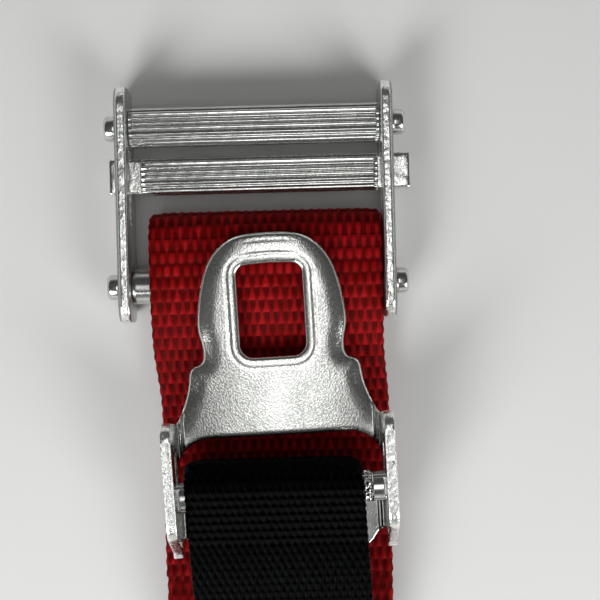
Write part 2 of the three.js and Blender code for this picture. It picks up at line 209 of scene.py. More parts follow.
# Brightness of the surroundings against the sine of the height above the horizon.
ROOM_LEVELS = ((0.0, 0.9), (0.22, 0.4), (0.5, 0.06), (1.0, 0.08))
STRIP_LEVEL = 3.1               # of a soft strip overhead, running fore and aft
STRIP_MIDDLE = (0.01, -0.12)    # like the three below, in parts of a direction of length 1
STRIP_SIDE = (0.0, 0.16)        # it fades between these, to each side
STRIP_ENDS = (0.14, 0.36)       # and between these, from its middle to its ends
STRIP_LOWEST = 0.3


def new_object(name, data):
    made = bpy.data.objects.new(name, data)
    bpy.context.scene.collection.objects.link(made)
    return made


def make_camera():
    data = bpy.data.cameras.new("camera")
    data.lens = CAMERA_LENS_MM
    data.sensor_width = 36.0
    data.clip_start = 0.01
    camera = new_object("camera", data)
    camera.location = (
        CAMERA_BESIDE[0] * MM, LOOP_BAR_AXIS.y + CAMERA_BESIDE[1] * MM, CAMERA_HEIGHT)
    camera.rotation_euler = (0, 0, CAMERA_ROLL)
    bpy.context.scene.camera = camera


def make_floor():
    mesh = bpy.data.meshes.new("floor")
    half = FLOOR_HALF
    corners = [(-half, -half, 0), (half, -half, 0), (half, half, 0), (-half, half, 0)]
    mesh.from_pydata(corners, [], [(0, 1, 2, 3)])
    floor = new_object("floor", mesh)
    material = bpy.data.materials.new("floor")
    material.use_nodes = True
    shader = material.node_tree.nodes["Principled BSDF"]
    shader.inputs["Base Color"].default_value = (0.86, 0.86, 0.85, 1)
    shader.inputs["Roughness"].default_value = 0.9
    mesh.materials.append(material)


def area_light(name, place, size, power):
    data = bpy.data.lights.new(name, "AREA")
    data.shape = "RECTANGLE"
    data.size = data.size_y = size
    data.energy = power
    light = new_object(name, data)
    light.location = Vector(place) + Vector((0, LOOP_BAR_AXIS.y, 0))
    target = Vector((0, LOOP_BAR_AXIS.y - 0.03, 0.012))
    light.rotation_euler = (target - light.location).to_track_quat("-Z", "Y").to_euler()


def maths_node(tree, operation, *values):
    """The result of a maths node whose inputs are numbers or other nodes' results."""
    made = tree.nodes.new("ShaderNodeMath")
    made.operation = operation
    for socket, value in zip(made.inputs, values):
        if isinstance(value, (int, float)):
            socket.default_value = value
        else:
            tree.links.new(value, socket)
    return made.outputs["Value"]


def map_range(tree, value, from_low, from_high, low, high, shape="LINEAR"):
    made = tree.nodes.new("ShaderNodeMapRange")
    made.interpolation_type = shape
    for key, number in zip(("From Min", "From Max", "To Min", "To Max"), (from_low, from_high, low, high)):
        made.inputs[key].default_value = number
    tree.links.new(value, made.inputs["Value"])
    return made.outputs["Result"]


def faded(tree, value, middle, limits):
    """1 where value is near middle, fading to 0 between two distances from it."""
    distance = maths_node(tree, "ABSOLUTE", maths_node(tree, "SUBTRACT", value, middle))
    return map_range(tree, distance, *limits, 1.0, 0.0, "SMOOTHSTEP")


def make_world():
    """Dark surroundings with a pale horizon and a soft strip overhead."""
    world = bpy.data.worlds.new("studio")
    world.use_nodes = True
    bpy.context.scene.world = world
    tree = world.node_tree
    coords = tree.nodes.new("ShaderNodeTexCoord")
    split = tree.nodes.new("ShaderNodeSeparateXYZ")
    tree.links.new(coords.outputs["Generated"], split.inputs[0])
    ramp = tree.nodes.new("ShaderNodeValToRGB")
    stops = ramp.color_ramp.elements
    first, *others, last = ROOM_LEVELS
    for stop, (position, level) in zip(stops, (first, last)):
        stop.position = position
        stop.color = (level, level, level, 1)
    for position, level in others:
        stops.new(position).color = (level, level, level, 1)
    tree.links.new(split.outputs["Z"], ramp.inputs["Fac"])
    beside = faded(tree, split.outputs["X"], STRIP_MIDDLE[0], STRIP_SIDE)
    along = faded(tree, split.outputs["Y"], STRIP_MIDDLE[1], STRIP_ENDS)
    above = maths_node(tree, "GREATER_THAN", split.outputs["Z"], STRIP_LOWEST)
    strip = maths_node(tree, "MULTIPLY", maths_node(tree, "MULTIPLY", beside, along), above)
    lit = maths_node(tree, "MULTIPLY_ADD", strip, STRIP_LEVEL, ramp.outputs["Color"])
    tree.links.new(lit, tree.nodes["Background"].inputs["Color"])


def make_lights():
    make_world()
    area_light("key", *KEY_LIGHT)
    area_light("fill", *FILL_LIGHT)
    bpy.context.scene.view_settings.view_transform = "Standard"


# ---- mesh helpers ----

def shade_smooth(mesh):
    mesh.polygons.foreach_set("use_smooth", [True] * len(mesh.polygons))


def mesh_object(name, vertices, faces, smooth=True):
    """A mesh from points in millimetres, turned into metres."""
    mesh = bpy.data.meshes.new(name)
    mesh.from_pydata((np.asarray(vertices, float) * MM).tolist(), [], faces)
    mesh.update()
    if smooth:
        shade_smooth(mesh)
    return new_object(name, mesh)


def prism(points, low, high, plane):
    """A closed solid from an outline in plane ("xy", "yz" or "xz"), run between low and high."""
    order = {"xy": (0, 1, 2), "yz": (2, 0, 1), "xz": (0, 2, 1)}[plane]
    count = len(points)
    vertices = [[(a, b, level)[i] for i in order] for level in (low, high) for a, b in points]
    faces = [tuple(range(count)), tuple(range(2 * count - 1, count - 1, -1))]
    for i in range(count):
        j = (i + 1) % count
        faces.append((i, i + count, j + count, j))
    return vertices, faces


def arc(x, y, r, start, end, steps):
    """Points round a centre, between two angles in degrees."""
    angles = np.radians(np.linspace(start, end, steps + 1))
    return [(x + r * math.cos(a), y + r * math.sin(a)) for a in angles]


def circle(x, y, r, steps):
    return arc(x, y, r, 0, 360, steps)[:-1]


def mirrored(points):
    """The other half of a symmetrical run of points, in the order that carries on round it."""
    return [(-x, y) for x, y in reversed(points)]


def rounded_box(x0, y0, x1, y1, r, steps):
    return (arc(x1 - r, y0 + r, r, -90, 0, steps) + arc(x1 - r, y1 - r, r, 0, 90, steps)
            + arc(x0 + r, y1 - r, r, 90, 180, steps) + arc(x0 + r, y0 + r, r, 180, 270, steps))


def outward(obj):
    """Turns every face of a closed mesh outwards."""
    work = bmesh.new()
    work.from_mesh(obj.data)
    bmesh.ops.recalc_face_normals(work, faces=work.faces)
    work.to_mesh(obj.data)
    work.free()
    return obj


def fused(name, solids, cutters, voxel):
    """One skin round several overlapping solids, less the cutters, with even small faces."""
    parts = [outward(mesh_object(f"{name}_solid_{i}", *s, smooth=False)) for i, s in enumerate(solids)]
    knives = [outward(mesh_object(f"{name}_knife_{i}", *c, smooth=False)) for i, c in enumerate(cutters)]
    body = parts[0]
    for other, operation in [(p, "UNION") for p in parts[1:]] + [(k, "DIFFERENCE") for k in knives]:
        cut = body.modifiers.new("join", "BOOLEAN")
        cut.operation = operation
        cut.solver = "EXACT"
        cut.object = other
    remesh = body.modifiers.new("skin", "REMESH")
    remesh.mode = "VOXEL"
    remesh.voxel_size = voxel * MM
    graph = bpy.context.evaluated_depsgraph_get()
    mesh = bpy.data.meshes.new_from_object(body.evaluated_get(graph))
    for scrap in parts + knives:
        bpy.data.objects.remove(scrap)
    mesh.name = name
    shade_smooth(mesh)
    return new_object(name, mesh)


def read(items, field, width=1, kind=int):
    """One field of every item, as an array."""
    values = np.empty(len(items) * width, kind)
    items.foreach_get(field, values)
    return values


def points_of(obj):
    """The vertices of obj, in millimetres."""
    return read(obj.data.vertices, "co", 3, float).reshape(-1, 3) / MM


def set_points(obj, points):
    obj.data.vertices.foreach_set("co", (points * MM).ravel())
    obj.data.update()


def relax(obj, rounds):
    """Evens out the small steps that a remesh leaves."""
    points = points_of(obj)
    pairs = read(obj.data.edges, "vertices", 2)
    a, b = pairs.reshape(-1, 2).T
    degree = np.bincount(pairs, minlength=len(points))[:, None]
    for _ in range(rounds):
        total = np.zeros_like(points)
        np.add.at(total, a, points[b])
        np.add.at(total, b, points[a])
        points += 0.5 * (total / degree - points)
    set_points(obj, points)


def edge_distance(points, loops, closed=True):
    """How far each 2-D point is from the nearest outline, in millimetres."""
    nearest = np.full(len(points), 1e9)
    for loop in loops:
        corners = np.asarray(loop, float)
        following = np.roll(corners, -1, axis=0)
        if not closed:
            corners, following = corners[:-1], following[:-1]
        for start, end in zip(corners, following):
            along = end - start
            t = np.clip((points - start) @ along / max(along @ along, 1e-12), 0, 1)
            nearest = np.minimum(nearest, np.hypot(*(points - start - t[:, None] * along).T))
    return nearest


def rough(points, scale, seed):
    """Smooth noise from -1 to 1 at each point, with one bump per scale millimetres."""
    shift = Vector((seed * 7.13, seed * 3.71, seed * 1.37))
    sizes = np.broadcast_to(np.asarray(scale, float), (3,))
    return np.array([noise.noise(Vector(p / sizes) + shift) for p in points])


def sink(obj, points, depth):
    """Moves each point of obj inwards along its normal by its depth."""
    normals = read(obj.data.vertices, "normal", 3, float).reshape(-1, 3)
    set_points(obj, points - normals * depth[:, None])


def tube_faces(rings, around):
    """The faces between rings of points that have the same number of points around."""
    faces = []
    for i in range(rings - 1):
        for j in range(around):
            k = (j + 1) % around
            faces.append((i * around + j, i * around + k, (i + 1) * around + k, (i + 1) * around + j))
    return faces


def join(name, objects):
    """Several closed meshes as one object."""
    work = bmesh.new()
    for obj in objects:
        work.from_mesh(obj.data)
    mesh = bpy.data.meshes.new(name)
    work.to_mesh(mesh)
    work.free()
    for obj in objects:
        bpy.data.objects.remove(obj)
    shade_smooth(mesh)
    return new_object(name, mesh)


def transform(obj, placing):
    obj.data.transform(placing)
    obj.data.update()


def install(obj, placing, body, node):
    """Puts obj in its place on that body, as the look of that CAD node."""
    transform(obj, placing)
    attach(obj, body)
    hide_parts(node)


def smoothstep(low, high, value):
    t = np.clip((value - low) / (high - low), 0, 1)
    return t * t * (3 - 2 * t)


# ---- materials ----

class Look:
    """A material and short ways to add nodes to it."""

    def __init__(self, name):
        self.material = bpy.data.materials.new(name)
        self.material.use_nodes = True
        self.tree = self.material.node_tree
        self.shader = self.tree.nodes["Principled BSDF"]

    def node(self, kind, **values):
        made = self.tree.nodes.new("ShaderNode" + kind)
        for key, value in values.items():
            setattr(made, key, value)
        return made

    def link(self, source, target):
        self.tree.links.new(source, target)

    def stretched(self, vector, scale):
        mapping = self.node("Mapping")
        mapping.inputs["Scale"].default_value = scale
        self.link(vector, mapping.inputs["Vector"])
        return mapping.outputs["Vector"]

    def noise(self, size_mm, detail, stretch=(1, 1, 1), vector=None):
        made = self.node("TexNoise")
        made.inputs["Scale"].default_value = 1 / (size_mm * MM)
        made.inputs["Detail"].default_value = detail
        vector = vector or self.node("TexCoord").outputs["Object"]
        self.link(self.stretched(vector, stretch), made.inputs["Vector"])
        return made.outputs["Fac"]

    def remap(self, value, low, high, from_low=0.0, from_high=1.0):
        return map_range(self.tree, value, from_low, from_high, low, high)

    def mix(self, factor, first, second, blend="MIX"):
        """A mix of two colours, each of them a number triple or another node's result."""
        made = self.node("Mix", data_type="RGBA", blend_type=blend)
        if isinstance(factor, float):
            made.inputs["Factor"].default_value = factor
        else:
            self.link(factor, made.inputs["Factor"])
        sockets = [s for s in made.inputs if s.type == "RGBA"]
        for socket, colour in zip(sockets, (first, second)):
            if isinstance(colour, tuple):
                socket.default_value = (*colour, 1)
            else:
                self.link(colour, socket)
        return [s for s in made.outputs if s.type == "RGBA"][0]

    def maths(self, operation, *values):
        return maths_node(self.tree, operation, *values)

    def bump(self, height, distance_mm, strength):
        made = self.node("Bump")
        made.inputs["Distance"].default_value = distance_mm * MM
        made.inputs["Strength"].default_value = strength
        self.link(height, made.inputs["Height"])
        self.link(made.outputs["Normal"], self.shader.inputs["Normal"])

    def set(self, **values):
        for key, value in values.items():
            socket = self.shader.inputs[key.replace("_", " ")]
            if isinstance(value, (int, float, tuple)):
                socket.default_value = value
            else:
                self.link(value, socket)


def steel_look(name, dark, light, smooth, dull, speck_mm, speck_depth):
    """Bright plated steel: a fine speckle in colour, gloss and surface over broad soft patches."""
    look = Look(name)
    speckle = look.noise(speck_mm, 4.0)
    patches = look.noise(6.0, 2.0)
    blend = look.maths("MULTIPLY_ADD", speckle, 0.7, look.maths("MULTIPLY", patches, 0.3))
    tone = look.remap(blend, 0.0, 1.0, 0.35, 0.65)
    look.set(Base_Color=look.mix(tone, dark, light), Metallic=1.0)
    look.set(Roughness=look.remap(blend, dull, smooth, 0.3, 0.7))
    look.bump(look.remap(speckle, 0.0, 1.0, 0.38, 0.62), speck_depth, 0.6)
    return look.material


def sheared_look(name):
    """The cut edge of pressed plate: a bright, torn surface with its streaks along the object."""
    look = Look(name)
    streaks = look.noise(0.7, 4.0, (1, 0.3, 1))
    grain = look.noise(0.25, 3.0)
    torn = look.maths("MULTIPLY", streaks, grain)
    tone = look.remap(torn, 0.0, 1.0, 0.13, 0.2)
    look.set(Base_Color=look.mix(tone, (0.2, 0.2, 0.19), (0.97, 0.98, 0.95)))
    look.set(Metallic=1.0, Roughness=look.remap(torn, 0.42, 0.16, 0.12, 0.3))
    look.bump(torn, 0.13, 0.45)
    return look.material


def webbing_look(name, gap_shade, body, bright, gloss, dull, fibre_mm):
    """Woven polyester with fine filaments; painted shade darkens the colour between the yarns, where the
    weave lies low, and each yarn's crown takes its own random tone.
    """
    look = Look(name)
    raised = look.node("Attribute", attribute_name="raised").outputs["Fac"]
    yarn = look.node("Attribute", attribute_name="yarn").outputs["Fac"]
    flat_place = look.node("UVMap", uv_map="weave").outputs["UV"]
    filament = look.noise(fibre_mm, 2.0, (1.0, 0.06, 1.0), flat_place)
    crown = look.mix(look.remap(yarn, 0.0, 1.0), body, bright)
    # painted shade: where the weave lies low between the yarns the colour goes towards the darker first
    # colour
    colour = look.mix(look.remap(raised, 0.0, 1.0, 0.15, 0.75), gap_shade, crown)
    shade = look.remap(filament, 0.72, 1.15, 0.3, 0.7)
    look.set(Base_Color=look.mix(1.0, colour, shade, "MULTIPLY"), Specular_IOR_Level=gloss)
    look.set(Roughness=look.remap(filament, dull, dull - 0.22, 0.3, 0.7))
    look.bump(filament, 0.05, 0.7)
    return look.material


def thread_look(name, colour):
    look = Look(name)
    ply = look.noise(0.18, 2.0)
    dark = tuple(c * 0.5 for c in colour)
    look.set(Base_Color=look.mix(ply, dark, colour), Roughness=look.remap(ply, 0.7, 0.45))
    look.set(Specular_IOR_Level=0.15)
    look.bump(ply, 0.05, 0.6)
    return look.material


DARK_STEEL = (0.5, 0.51, 0.49)

LOOKS = {
    "plate": steel_look("plate_face", DARK_STEEL, (0.72, 0.73, 0.7), 0.24, 0.38, 0.5, 0.006),
    "sheared": sheared_look("plate_sheared_edge"),
    "bar": steel_look("bar_plated", DARK_STEEL, (0.8, 0.81, 0.78), 0.1, 0.22, 0.35, 0.003),
    "tongue": steel_look("tongue_satin", DARK_STEEL, (0.93, 0.94, 0.9), 0.1, 0.24, 0.38, 0.017),
    "knurl": steel_look("knurl_steel", (0.4, 0.41, 0.4), (0.85, 0.86, 0.84), 0.12, 0.24, 0.25, 0.004),
    # Each webbing's first colour is the painted shade between its yarns.
    "red": webbing_look(
        "red_webbing", (0.1, 0.0, 0.0), (0.23, 0.0012, 0.002), (0.4, 0.006, 0.009), 0.06, 0.7, 0.16),
    "black": webbing_look(
        "black_webbing", (0.0, 0.0001, 0.0001), (0.0006, 0.0009, 0.0008), (0.0016, 0.0021, 0.002),
        0.022, 0.5, 0.13),
    "red_thread": thread_look("red_thread", (0.12, 0.003, 0.005)),
    "black_thread": thread_look("black_thread", (0.007, 0.0075, 0.0075)),
}


def dress(obj, *names):
    for name in names:
        obj.data.materials.append(LOOKS[name])


# ---- pressed plate ----

TORN_TO = 0.62                  # share of the thickness that is torn and not rolled over


def torn_depth(points, coarse, fine, seeds):
    """Depth of a torn surface at each point, from a coarse and a fine size of tear."""
    return 0.6 * rough(points, coarse, seeds[0]) + 0.5 * rough(points, fine, seeds[1]) + 0.3


def shear_edges(obj, loops, low, high, axes, rollover, tear, seed):
    """Gives the walls of a pressed plate their rollover and torn zone, and their own material.

    loops are the outlines in the plate's plane, low and high its two faces along the third axis.
    The punch enters at high."""
    points = points_of(obj)
    level = (points[:, axes[2]] - low) / (high - low)
    distance = edge_distance(points[:, axes[:2]], loops)
    wall = (distance < 0.35) & (level > -0.2) & (level < 1.2)
    depth = np.zeros(len(points))
    depth[wall] = rollover * np.clip((level[wall] - TORN_TO) / (1 - TORN_TO), 0, 1) ** 2
    torn = wall & (level < TORN_TO) & (level > 0.05)
    coarse = np.ones(3) * 0.9
    coarse[axes[2]] = 1.6
    depth[torn] += tear * torn_depth(points[torn], coarse, 0.35, (seed, seed + 1))
    sink(obj, points, depth)
    mark_faces(obj, wall, 1)


def mark_faces(obj, chosen, material_index):
    """Faces whose corners are all chosen take that material."""
    mesh = obj.data
    corners = chosen[read(mesh.loops, "vertex_index")].astype(int)
    sums = np.add.reduceat(corners, read(mesh.polygons, "loop_start"))
    present = read(mesh.polygons, "material_index")
    present[sums == read(mesh.polygons, "loop_total")] = material_index
    mesh.polygons.foreach_set("material_index", present)
    mesh.update()


def adjuster_plate(name, side):
    outline = rounded_box(*PLATE_BOX, PLATE_CORNER, 12)
    slot = rounded_box(*SLOT_BOX, SLOT_CORNER, 5)
    holes = [circle(y, 0, RIVET_HOLE_R, 24) for y in (0, FIXED_BAR_Y)]
    inner, outer = side * PLATE_INNER, side * (PLATE_INNER + PLATE_THICK)
    low, high = sorted((inner, outer))
    cutters = [prism(h, low - 2, high + 2, "yz") for h in (slot, *holes)]
    plate = fused(name, [prism(outline, low, high, "yz")], cutters, 0.24)
    relax(plate, 3)
    dress(plate, "plate", "sheared")
    shear_edges(plate, [outline, slot], inner, outer, [1, 2, 0], 0.55, 0.11, 3 + side)
    install(plate, ADJUSTER_FRAME, "adjuster_frame", name)


# ---- bars ----

def turned_bar(name, stations, radius_at, around):
    """A bar along X: stations are (x, radius) pairs, and radius_at shapes the skin further."""
    x, base = np.array(stations).T
    theta = 2 * np.pi * np.arange(around) / around
    xs, angles = np.meshgrid(x, theta, indexing="ij")
    radii = radius_at(xs, angles, base[:, None] * np.ones_like(angles))
    rings = np.stack([xs, radii * np.cos(angles), radii * np.sin(angles)], axis=-1).reshape(-1, 3)
    faces = tube_faces(len(x), around)
    ends = np.array([[x[0], 0, 0], [x[-1], 0, 0]])
    first_middle, last_middle = len(rings), len(rings) + 1
    last_ring = len(rings) - around
    for j in range(around):
        k = (j + 1) % around
        faces.append((first_middle, k, j))
        faces.append((last_middle, last_ring + j, last_ring + k))
    bar = outward(mesh_object(name, np.vstack([rings, ends]), faces))
    bar.data.set_sharp_from_angle(angle=math.radians(42))
    return bar


def body_stations(radius, half, steps):
    return [(x, radius) for x in np.linspace(half, -half, steps)]


def riveted_stations(body_r, body_steps):
    """From one flat-topped, peened head to the other."""
    plate = PLATE_INNER + PLATE_THICK + 0.05
    flat = RIVET_HEAD_R - RIVET_ROUND_R
    head = [(plate + RIVET_HEAD_H, r) for r in (0.5, flat * 0.6, flat)]
    head += arc(plate + RIVET_HEAD_H - RIVET_ROUND_R, flat, RIVET_ROUND_R, 15, 90, 5)
    body_end = PLATE_INNER - 0.08
    end = head + [
        (plate + 0.9, RIVET_HEAD_R + 0.05), (plate + 0.2, RIVET_HEAD_R + 0.05), (plate, RIVET_HEAD_R - 0.1),
        (plate - 0.02, TENON_R), (body_end + 0.02, TENON_R), (body_end, body_r - 0.4),
        (body_end - 0.1, body_r - 0.12), (body_end - 0.3, body_r)]
    return end + body_stations(body_r, body_end - 1.0, body_steps) + mirrored(end)


def fluting(body_r, body_half, seed):
    """Broad rounded ridges along the bar with narrow grooves between, only on its full-width body."""
    def shape(x, angle, radius):
        groove = np.cos(angle * FLUTES / 2) ** 4
        on_body = smoothstep(0.9, 0.15, body_r - radius) * (np.abs(x) < body_half)
        uneven = 0.05 * np.sin(x * 0.37 + seed) * np.sin(angle * 3 + seed)
        uneven += 0.03 * np.sin(x * 1.9 + angle * 5)
        return radius - on_body * FLUTE_DEPTH * (groove + uneven)
    return shape


def plain_round(x, angle, radius):
    return radius + 0.012 * np.sin(angle * 3 + x)


def riveted_bar(name, body_r, shape, body_steps, around, y, body):
    bar = turned_bar(name, riveted_stations(body_r, body_steps), shape, around)
    dress(bar, "bar")
    install(bar, ADJUSTER_FRAME @ Matrix.Translation((0, y * MM, 0)), body, name)


def flat_bar(name, width, thick, corner, reach, voxel):
    """A flat bar along X, reaching equally far each way."""
    section = rounded_box(-width / 2, -thick / 2, width / 2, thick / 2, *corner)
    return fused(name, [prism(section, -reach, reach, "yz")], [], voxel)


def lock_bar():
    half = LOCK_BAR_HALF
    end = [(half, 0.6), (half, LOCK_BAR_R - 0.35), (half - 0.1, LOCK_BAR_R - 0.1), (half - 0.3, LOCK_BAR_R)]
    stations = end + body_stations(LOCK_BAR_R, half - 1.2, 60) + mirrored(end)
    shape = fluting(LOCK_BAR_R, half + 1, 2.0)
    bar = turned_bar("sliding_lock_bar_body", stations, shape, FLUTED_AROUND)
    width, thick, reach = TANG
    tang = flat_bar("sliding_lock_bar_tang", width, thick, (0.5, 4), reach, 0.3)
    relax(tang, 3)
    points = points_of(tang)
    points[:, 2] += rough(points, 1.3, 5) * 0.05 * (np.abs(points[:, 0]) > PLATE_INNER)
    set_points(tang, points)
    joined = join("sliding_lock_bar", [bar, tang])
    dress(joined, "bar", "tongue")
    mark_faces(joined, np.abs(points_of(joined)[:, 0]) > half + 0.02, 1)
    middle = Matrix.Translation((LOCK_BAR_X * MM, LOCK_BAR_Y * MM, 0))
    install(joined, ADJUSTER_FRAME @ middle, "lock_bar", "sliding_lock_bar")


# ---- tongue ----

# The right-hand outline from the tip to the ear, as (half width, distance from the bar).
TONGUE_SIDE = [
    (0.0, 55.2), (2.4, 55.15), (4.4, 55.0), (6.2, 54.75), (7.9, 54.2), (9.4, 53.3), (10.9, 52.1),
    (12.2, 50.6), (13.3, 48.8), (14.2, 46.6), (14.9, 44.2), (15.5, 41.3), (15.9, 38.4), (16.1, 36.2),
    (16.05, 34.8), (15.8, 33.3), (15.45, 32.0), (15.25, 30.6), (15.2, 29.2), (15.35, 28.2),
    (15.8, 27.4), (16.6, 26.95), (17.5, 26.7), (18.2, 26.1), (18.6, 25.1), (18.8, 23.6), (19.2, 21.4),
    (19.9, 19.2), (20.8, 17.0), (21.7, 15.2), (22.2, 14.5)]
TONGUE_REAR = [
    (22.2, -11.0), (21.4, -11.4), (20.5, -12.4), (19.6, -13.7), (18.6, -14.7), (17.4, -15.3),
    (15.0, -15.6), (8.0, -15.7), (0.0, -15.8)]


def tongue_outline():
    right = TONGUE_SIDE + TONGUE_REAR
    return right + mirrored(right[1:-1])


def hole_outline():
    right = (arc(HOLE_HALF - HOLE_REAR_R, HOLE_REAR + HOLE_REAR_R, HOLE_REAR_R, -90, 0, 7)
             + arc(HOLE_HALF - HOLE_FRONT_R, HOLE_FRONT - HOLE_FRONT_R, HOLE_FRONT_R, 0, 80, 7))
    return right + [(0.0, HOLE_FRONT + HOLE_BULGE)] + mirrored(right)


def window_outline():
    corner_x, corner_y = WINDOW_CORNER
    front = [(EAR_INNER - corner_x + corner_x * x, WINDOW_FRONT - corner_y + corner_y * y)
             for x, y in arc(0, 0, 1, 0, 90, 10)]
    right = arc(EAR_INNER - 1.5, WINDOW_REAR + 1.5, 1.5, -90, 0, 5) + front
    return right + mirrored(right)


def ear_outline():
    bend_end = TONGUE_FOOT + BEND_OUTER_R
    return ([(EAR_REAR, bend_end), (EAR_FRONT, bend_end), (EAR_FRONT + 0.7, TONGUE_FOOT + 4.4)]
            + arc(14.1, EAR_TOP - 3.4, 3.4, 0, 90, 8)
            + arc(-3.6, EAR_TOP - 5.5, 5.5, 90, 135, 5)
            + [(-13.2, EAR_TOP - 11.0), (-14.7, TONGUE_FOOT + 5.5), (-14.2, TONGUE_FOOT + 4.0)])


def bend_outline(side):
    inside = EAR_INNER - BEND_INNER_R
    right = (arc(EAR_OUTER - BEND_OUTER_R, TONGUE_FOOT + BEND_OUTER_R, BEND_OUTER_R, -90, 0, 8)
             + [(EAR_OUTER, TONGUE_FOOT + 4.2), (EAR_INNER, TONGUE_FOOT + 4.2)]
             + arc(inside, TONGUE_TOP + BEND_INNER_R, BEND_INNER_R, 0, -90, 6)
             + [(inside - 1, TONGUE_TOP), (inside - 1, TONGUE_FOOT)])
    return [(side * x, z) for x, z in right]


def tongue():
    ear, ear_slot = ear_outline(), rounded_box(*EAR_SLOT_BOX, EAR_SLOT_CORNER, 5)
    solids = [prism(tongue_outline(), TONGUE_FOOT, TONGUE_TOP, "xy")]
    for side in (-1, 1):
        low, high = sorted((side * EAR_INNER, side * EAR_OUTER))
        solids.append(prism(ear, low, high, "yz"))
        solids.append(prism(bend_outline(side), EAR_REAR, EAR_FRONT, "xz"))
    cutters = [
        prism(window_outline(), TONGUE_FOOT - 2, TONGUE_TOP + 4, "xy"),
        prism(hole_outline(), TONGUE_FOOT - 2, TONGUE_TOP + 2, "xy"),
        prism(ear_slot, -EAR_OUTER - 2, EAR_OUTER + 2, "yz"),
    ]
    plate = fused("tongue_frame", solids, cutters, 0.3)
    relax(plate, 2)
    dress(plate, "tongue", "sheared")
    coin(plate)
    for side in (-1, 1):
        shear_ear(plate, side, [ear, ear_slot])
    install(plate, TONGUE_FRAME, "tongue", "tongue_frame")


def near(distance, reach, power):
    """1 at no distance, falling to 0 at reach."""
    return np.clip(1 - distance / reach, 0, 1) ** power


def line_at(distance, middle):
    """1 where distance is middle, fading to 0 within a fraction of a millimetre."""
    return np.exp(-((distance - middle) / 0.3) ** 2)


def coin(plate):
    """The tongue's face is crowned towards its edges and ringed round the latch hole."""
    points = points_of(plate)
    x, y, z = points.T
    free_edge = mirrored(TONGUE_SIDE[1:]) + TONGUE_SIDE
    outer = edge_distance(points[:, :2], [free_edge], closed=False)
    hole = edge_distance(points[:, :2], [hole_outline()])
    window = edge_distance(points[:, :2], [window_outline()])
    face = smoothstep(TONGUE_FOOT + 0.6, TONGUE_TOP - 0.2, z) * (np.abs(x) < EAR_INNER - 1.2)
    crown = 0.5 * (x / 17) ** 2 + 0.6 * near(outer, 4.2, 2.1) + 0.4 * near(outer, 0.6, 2)
    ring = 0.22 * near(hole, 1.6, 1.5) + 0.35 * near(hole, 0.6, 2) + 0.07 * line_at(hole, 2.3)
    tip_lines = (line_at(outer, 1.6) + line_at(outer, 4.4)) * smoothstep(7, 3, np.abs(x)) * (y > HOLE_FRONT)
    lip = 0.22 * near(window, 1.2, 1.6) * (y > 0)
    sunk = face * (crown + ring + 0.06 * tip_lines + lip)
    under = smoothstep(TONGUE_TOP - 0.6, TONGUE_FOOT + 0.2, z - sunk)
    points[:, 2] += under * 0.3 * near(np.minimum(outer, hole), 0.8, 2) - sunk
    set_points(plate, points)


def shear_ear(plate, side, loops):
    """The ear's cut edges above the bend, torn over most of their thickness."""
    points = points_of(plate)
    level = (points[:, 0] * side - EAR_INNER) / TONGUE_THICK
    distance = edge_distance(points[:, 1:], loops)
    wall = (distance < 0.4) & (level > -0.2) & (level < 1.2) & (points[:, 2] > TONGUE_TOP + 1.2)
    torn = wall & (level > 0.1) & (level < 0.9)
    depth = np.zeros(len(points))
    depth[torn] = 0.1 * torn_depth(points[torn], (1.4, 0.8, 0.8), 0.4, (11 + side, 9))
    sink(plate, points, depth)
    mark_faces(plate, wall, 1)


# ---- knurled slide bar ----

def diamond_knurl(x, angle, radius):
    """Crossed helical grooves that leave small pyramids."""
    turn = angle * KNURLS / (2 * np.pi)
    u, v = turn + x / KNURL_PITCH, turn - x / KNURL_PITCH
    height = np.minimum(1 - np.abs(2 * (u % 1) - 1), 1 - np.abs(2 * (v % 1) - 1))
    on_knurl = (np.abs(x) < COLLAR_FROM - 0.3) & (radius > KNURL_R - 0.05)
    return radius - on_knurl * KNURL_DEPTH * (1 - np.clip(height * 1.35, 0, 1))


def slide_bar():
    shoulder = EAR_INNER - GAP
    collar = [(shoulder, 0.6), (shoulder, COLLAR_R - 0.25), (shoulder - 0.2, COLLAR_R),
              (shoulder - 1.2, COLLAR_R), (COLLAR_FROM + 0.05, COLLAR_R), (COLLAR_FROM, KNURL_R - 0.2),
              (COLLAR_FROM - 0.25, KNURL_R)]
    stations = collar + body_stations(KNURL_R, COLLAR_FROM - 0.45, 210) + mirrored(collar)
    bar = turned_bar("slide_bar_body", stations, diamond_knurl, KNURLS * 9)
    tenon = flat_bar("slide_bar_tenon", *SLIDE_TENON, (0.9, 5), EAR_OUTER - 0.1, 0.35)
    relax(tenon, 2)
    joined = join("knurled_slide_bar", [bar, tenon])
    dress(joined, "knurl")
    install(joined, TONGUE_FRAME, "tongue_strap", "knurled_slide_bar")


# ---- webbing ----

def ramp(y0, z0, y1, z1, steps=6):
    """A smooth rise or fall of a strap between two points of its route."""
    return [(y0 + (y1 - y0) * k, z0 + (z1 - z0) * smoothstep(0, 1, k)) for k in np.linspace(0, 1, steps + 1)]


RED_LOW = RED_THICK / 2
RED_SECOND = RED_LOW + RED_THICK + GAP
RED_TOP = RED_SECOND + RED_THICK / 2
BLACK_ON_RED = RED_THICK + GAP + BLACK_THICK / 2
BLACK_ON_TWO = RED_TOP + GAP + BLACK_THICK / 2
TAIL_REST = BLACK_ON_TWO + GAP + BLACK_THICK
TAB_LAYER = TAIL_REST + BLACK_THICK + GAP


